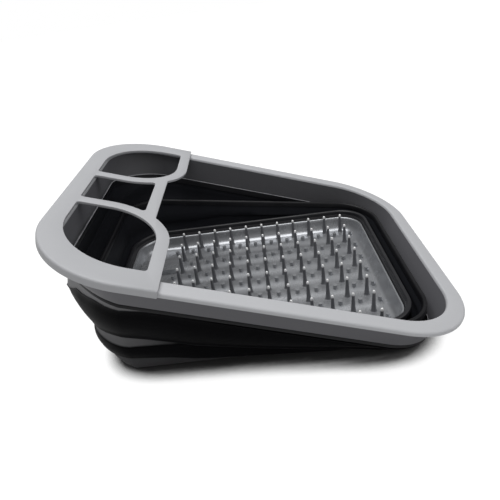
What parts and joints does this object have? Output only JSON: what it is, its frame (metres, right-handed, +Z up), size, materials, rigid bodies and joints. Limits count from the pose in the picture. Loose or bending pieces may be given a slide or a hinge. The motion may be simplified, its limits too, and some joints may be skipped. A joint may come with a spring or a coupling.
{
  "type": "foldable dish rack",
  "caption": "Foldable dish rack with soft folding walls, a flanged rim, a peg drying plate, a drain plug and a lift-off utensil frame, shown half folded",
  "frame": {"origin": "on the table, under the middle of the rack's overall length and width, in its half folded state", "axes": "+X along the rack towards the low end, +Y to the rear, +Z up"},
  "size_m": [0.3522, 0.3128, 0.1527],
  "materials": {
    "rim_plastic": "fine matte moulded plastic, light grey",
    "soft_wall": "soft satin moulded rubber, near black",
    "base_plastic": "satin moulded plastic, dark grey",
    "plate_plastic": "glossy moulded plastic, silver grey",
    "plug_rubber": "soft rubber, dark",
    "foot_rubber": "soft rubber, dark"
  },
  "bodies": {
    "base": {"base_wall": "base_plastic", "base_ridge": "soft_wall", "drain_pan": "base_plastic", "peg_plate": "plate_plastic", "plate_pegs": "plate_plastic", "foot_front_left": "foot_rubber", "foot_front_right": "foot_rubber", "foot_rear_left": "foot_rubber", "foot_rear_right": "foot_rubber"},
    "lower_fold": {"lower_fold_wall": "soft_wall"},
    "middle": {"middle_hoop": "soft_wall"},
    "upper_fold": {"upper_fold_wall": "soft_wall"},
    "rim": {"rim_flange": "rim_plastic", "rim_skirt": "rim_plastic", "rim_collar": "soft_wall"},
    "utensil": {"utensil_frame": "rim_plastic"},
    "plug": {"drain_plug": "plug_rubber"}
  },
  "joints": [
    {"name": "left_end_fold", "type": "hinge", "parent": "base", "child": "lower_fold", "pos_m": [0.12754, 0, 0.00268], "axis": [0, -1, 0], "range_deg": [0, 8.85], "deforming": ["lower_fold_wall"]},
    {"name": "right_end_raise", "type": "hinge", "parent": "lower_fold", "child": "middle", "pos_m": [-0.1761, 0, 0.02618], "axis": [0, -1, 0], "range_deg": [0, 8.85]},
    {"name": "left_end_fold_upper", "type": "hinge", "parent": "middle", "child": "upper_fold", "pos_m": [0.18334, 0, 0.02647], "axis": [0, -1, 0], "range_deg": [0, 10.04], "deforming": ["upper_fold_wall"]},
    {"name": "right_end_raise_upper", "type": "hinge", "parent": "upper_fold", "child": "rim", "pos_m": [-0.15662, 0, 0.11043], "axis": [0, -1, 0], "range_deg": [0, 10.04]},
    {"name": "utensil_frame_lift", "type": "slide", "parent": "rim", "child": "utensil", "axis": [0.3239, 0, 0.9461], "range_m": [0, 0.03]},
    {"name": "drain_plug_lift", "type": "slide", "parent": "base", "child": "plug", "axis": [0, 0, 1], "range_m": [0, 0.02]}
  ],
  "couplings": [
    {"joint": "left_end_fold_upper", "follows": "left_end_fold", "ratio": 1.1347},
    {"joint": "right_end_raise_upper", "follows": "right_end_raise", "ratio": 1.1347}
  ]
}
